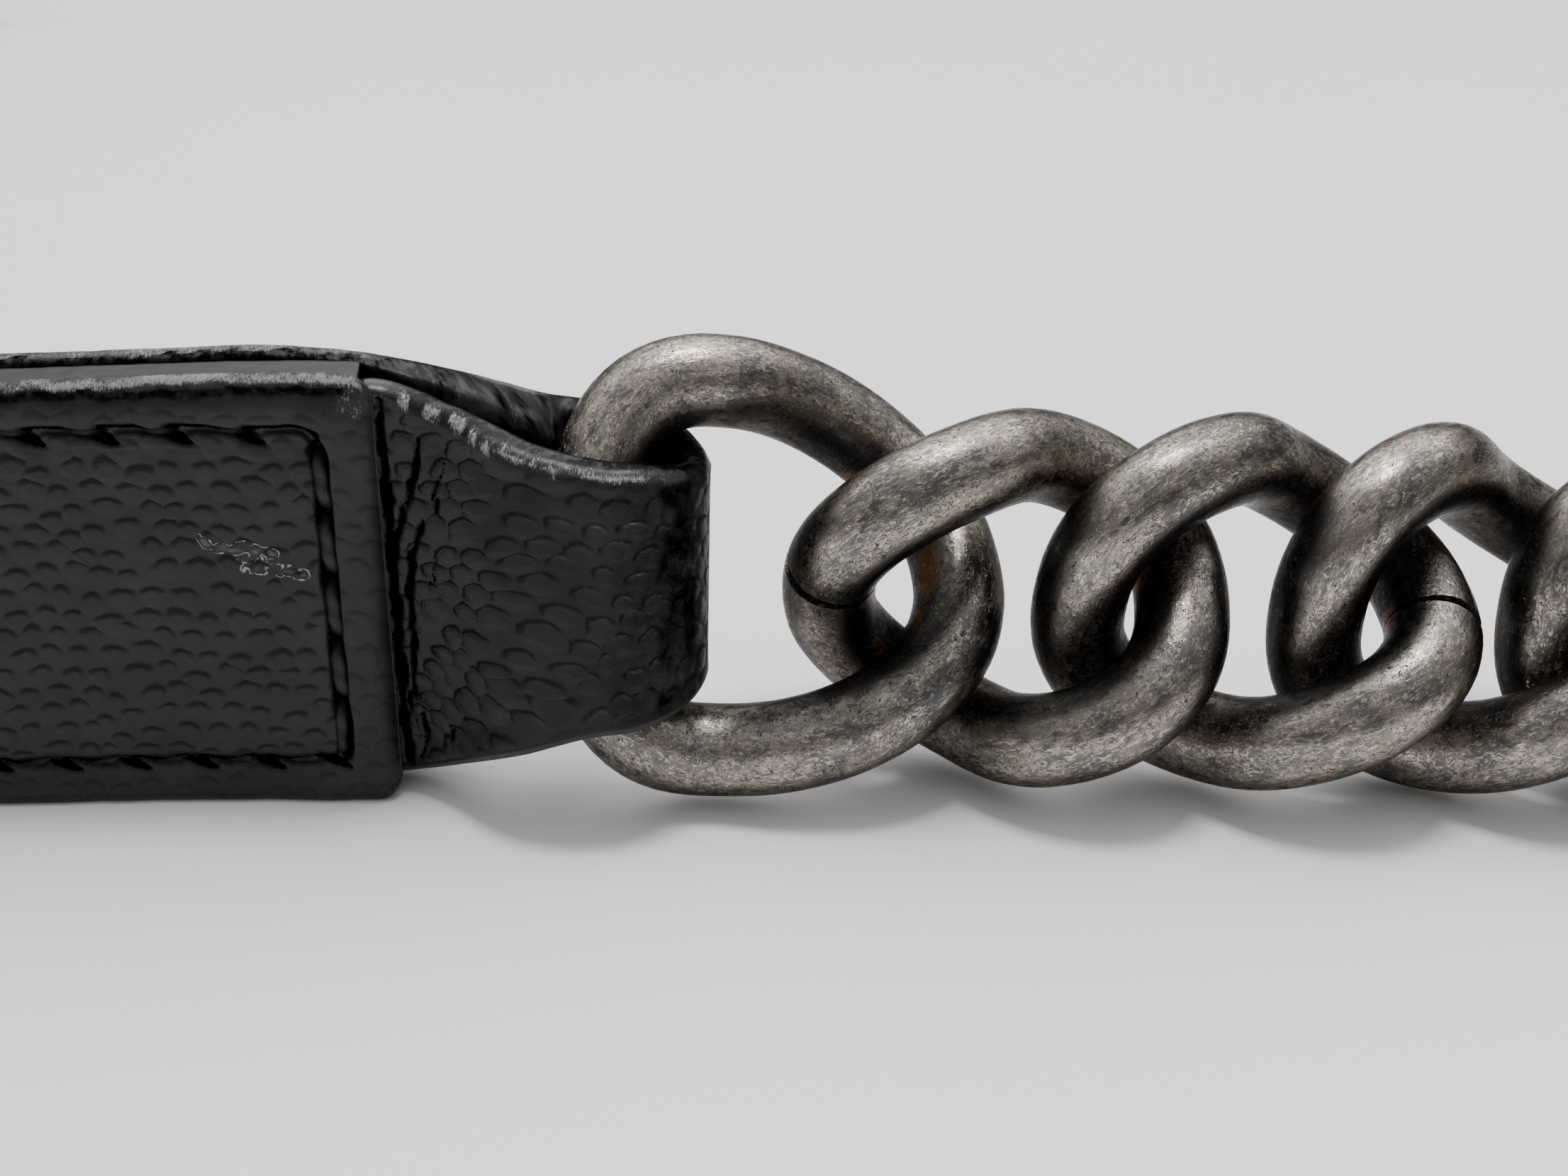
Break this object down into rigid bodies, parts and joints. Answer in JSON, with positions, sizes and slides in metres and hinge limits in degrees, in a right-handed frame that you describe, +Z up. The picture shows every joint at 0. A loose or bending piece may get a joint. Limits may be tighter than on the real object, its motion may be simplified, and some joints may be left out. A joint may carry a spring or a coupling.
{
  "type": "bag shoulder strap",
  "caption": "Shoulder strap of a bag: a stitched black leather strap with a chunky curb chain of antiqued metal at each end, lying curled on a table.",
  "frame": {"origin": "middle of the strap's footprint on the table it lies on", "axes": "+X along the straight run of the leather towards its chain, +Y from the covered side of that run into the curl, +Z up"},
  "size_m": [0.4378, 0.286, 0.024],
  "materials": {
    "leather": "pebbled black, soft sheen, worn edges",
    "pewter": "antiqued pewter plating, polished high, dark in the crotches"
  },
  "bodies": {
    "root": {"cover_strip": "leather", "backing_strip": "leather", "end_link_right": "pewter", "chain_link_right_01": "pewter", "chain_link_right_02": "pewter", "chain_link_right_03": "pewter", "chain_link_right_04": "pewter", "chain_link_right_05": "pewter", "chain_link_right_06": "pewter", "chain_link_right_07": "pewter", "chain_link_right_08": "pewter", "chain_link_right_09": "pewter", "chain_link_right_10": "pewter", "chain_link_right_11": "pewter", "chain_link_right_12": "pewter", "chain_link_right_13": "pewter", "chain_link_right_14": "pewter", "chain_link_right_15": "pewter", "end_ring_right": "pewter", "end_link_left": "pewter", "chain_link_left_01": "pewter", "chain_link_left_02": "pewter", "chain_link_left_03": "pewter", "chain_link_left_04": "pewter", "chain_link_left_05": "pewter", "chain_link_left_06": "pewter", "chain_link_left_07": "pewter", "chain_link_left_08": "pewter", "chain_link_left_09": "pewter", "chain_link_left_10": "pewter", "chain_link_left_11": "pewter", "chain_link_left_12": "pewter", "chain_link_left_13": "pewter", "chain_link_left_14": "pewter", "chain_link_left_15": "pewter", "end_ring_left": "pewter"}
  },
  "joints": []
}
